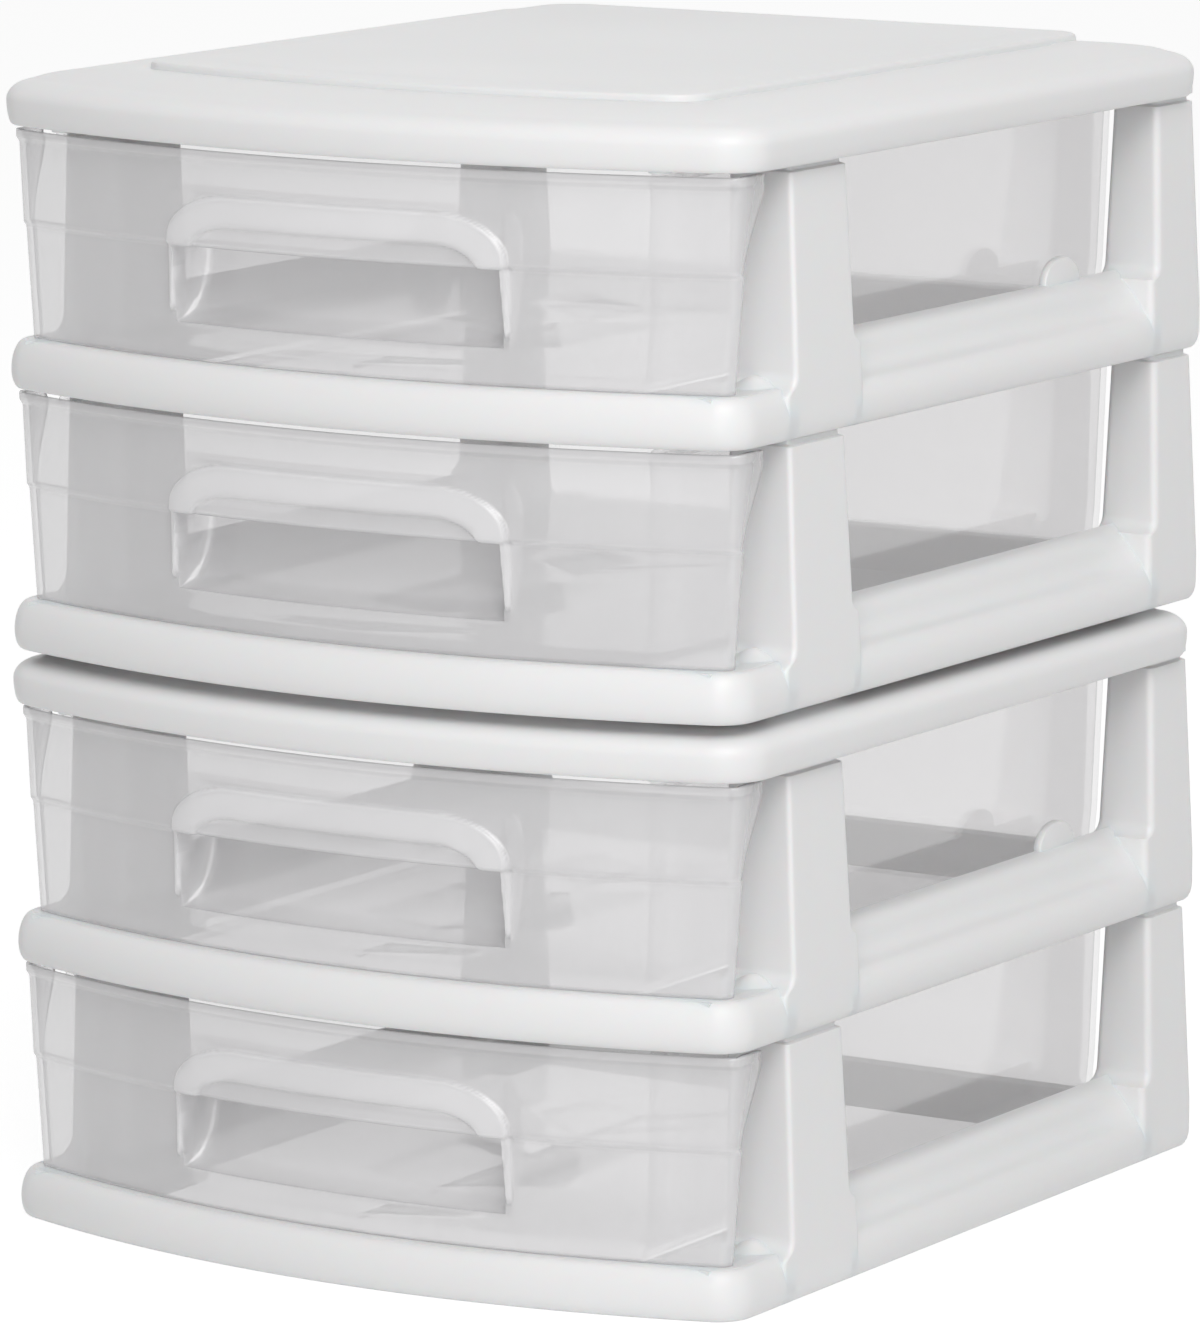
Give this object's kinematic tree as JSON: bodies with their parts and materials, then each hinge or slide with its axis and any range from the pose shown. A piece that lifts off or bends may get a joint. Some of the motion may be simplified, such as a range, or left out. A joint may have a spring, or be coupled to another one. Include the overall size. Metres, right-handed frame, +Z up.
{
  "type": "plastic drawer tower",
  "caption": "Stacked plastic drawer tower: bowed ring frames on hollow posts carry clear drawers with arched finger pulls, under covers with a raised top panel.",
  "frame": {"origin": "bottom centre of the bounding box", "axes": "+X right, +Y back, +Z up; the drawer fronts face -Y"},
  "size_m": [0.284, 0.32, 0.3785],
  "materials": {
    "white_plastic": "smooth satin",
    "clear_plastic": "clear gloss"
  },
  "bodies": {
    "lower_unit": {"lower_base_frame": "white_plastic", "lower_middle_frame": "white_plastic", "lower_cover": "white_plastic"},
    "upper_unit": {"upper_base_frame": "white_plastic", "upper_middle_frame": "white_plastic", "upper_cover": "white_plastic"},
    "drawer_1": {"drawer_1": "clear_plastic"},
    "drawer_2": {"drawer_2": "clear_plastic"},
    "drawer_3": {"drawer_3": "clear_plastic"},
    "drawer_4": {"drawer_4": "clear_plastic"}
  },
  "joints": [
    {"name": "upper_unit_lift", "type": "slide", "parent": "lower_unit", "child": "upper_unit", "axis": [0, 0, 1], "range_m": [0, 0.1]},
    {"name": "drawer_1_slide", "type": "slide", "parent": "upper_unit", "child": "drawer_1", "axis": [0, -1, 0], "range_m": [0, 0.24]},
    {"name": "drawer_2_slide", "type": "slide", "parent": "upper_unit", "child": "drawer_2", "axis": [0, -1, 0], "range_m": [0, 0.24]},
    {"name": "drawer_3_slide", "type": "slide", "parent": "lower_unit", "child": "drawer_3", "axis": [0, -1, 0], "range_m": [0, 0.24]},
    {"name": "drawer_4_slide", "type": "slide", "parent": "lower_unit", "child": "drawer_4", "axis": [0, -1, 0], "range_m": [0, 0.24]}
  ]
}
